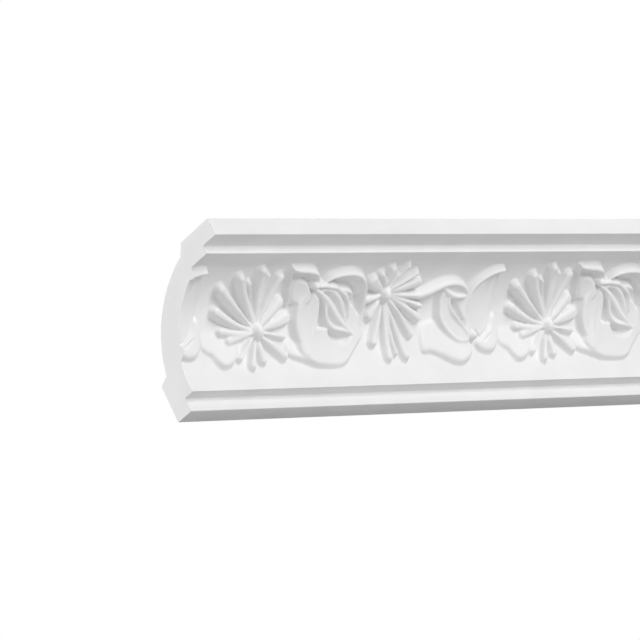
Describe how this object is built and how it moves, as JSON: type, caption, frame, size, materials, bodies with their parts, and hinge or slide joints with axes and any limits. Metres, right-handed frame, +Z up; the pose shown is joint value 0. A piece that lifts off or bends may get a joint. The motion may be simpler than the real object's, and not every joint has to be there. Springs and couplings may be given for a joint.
{
  "type": "cornice moulding length",
  "caption": "Square-cut length of white coved cornice moulding with stepped lips and a cast relief of daisies, a bell flower and curling leaves.",
  "frame": {"origin": "middle of the flat face that bears on the wall, half way along the length", "axes": "+Z up as mounted, +Y into the wall, so the room is on the -Y side, +X along the length to the right as seen from the room"},
  "size_m": [0.504, 0.082, 0.082],
  "materials": {
    "cast_white": "matt factory-primed white polyurethane"
  },
  "bodies": {
    "root": {"cornice_moulding": "cast_white"}
  },
  "joints": []
}
